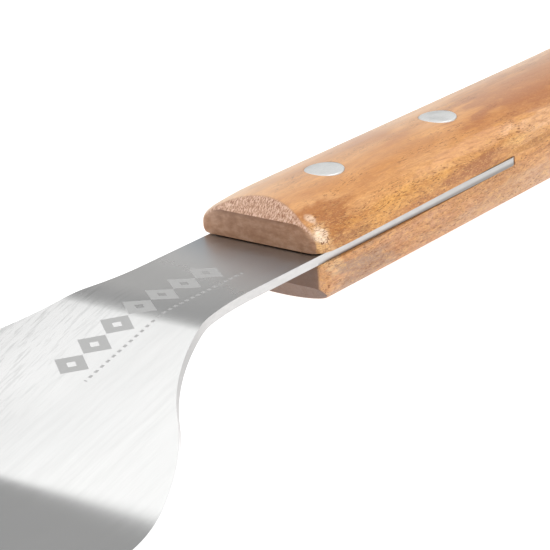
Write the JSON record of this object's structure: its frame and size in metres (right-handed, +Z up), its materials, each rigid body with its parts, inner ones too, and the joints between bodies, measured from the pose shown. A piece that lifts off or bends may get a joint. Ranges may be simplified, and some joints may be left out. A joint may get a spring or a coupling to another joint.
{
  "type": "grill spatula",
  "caption": "Grill spatula: one stamped steel sheet forms blade, stepped neck and tang, riveted in a slotted wooden handle with a swinging wire hanging loop.",
  "frame": {"origin": "bottom centre of the whole tool's box at rest; Z = 0 is the plane of the blade's flat underside, on which the tool lies on a table", "axes": "+X along the tool from the blade towards the butt of the handle, +Y across it, +Z up, out of the blade's top face"},
  "size_m": [0.4256, 0.094, 0.0234],
  "materials": {
    "sheet_steel": "satin, brushed lengthwise",
    "handle_wood": "oiled hardwood, semi-gloss",
    "rivet_metal": "ground flush with the wood, fine satin",
    "wire_steel": "smooth drawn wire"
  },
  "bodies": {
    "tool": {"blade_and_tang": "sheet_steel", "wood_handle": "handle_wood", "front_rivet_stud": "rivet_metal", "front_rivet_sleeve": "rivet_metal", "rear_rivet_stud": "rivet_metal", "rear_rivet_sleeve": "rivet_metal", "hang_hole_eyelet": "wire_steel"},
    "loop": {"hanging_loop": "wire_steel"}
  },
  "joints": [
    {"name": "hanging_loop_swing", "type": "hinge", "parent": "tool", "child": "loop", "pos_m": [0.18957, 0.0009, 0.01172], "axis": [0, 1, 0], "range_deg": [-166.9, 117.1]}
  ]
}
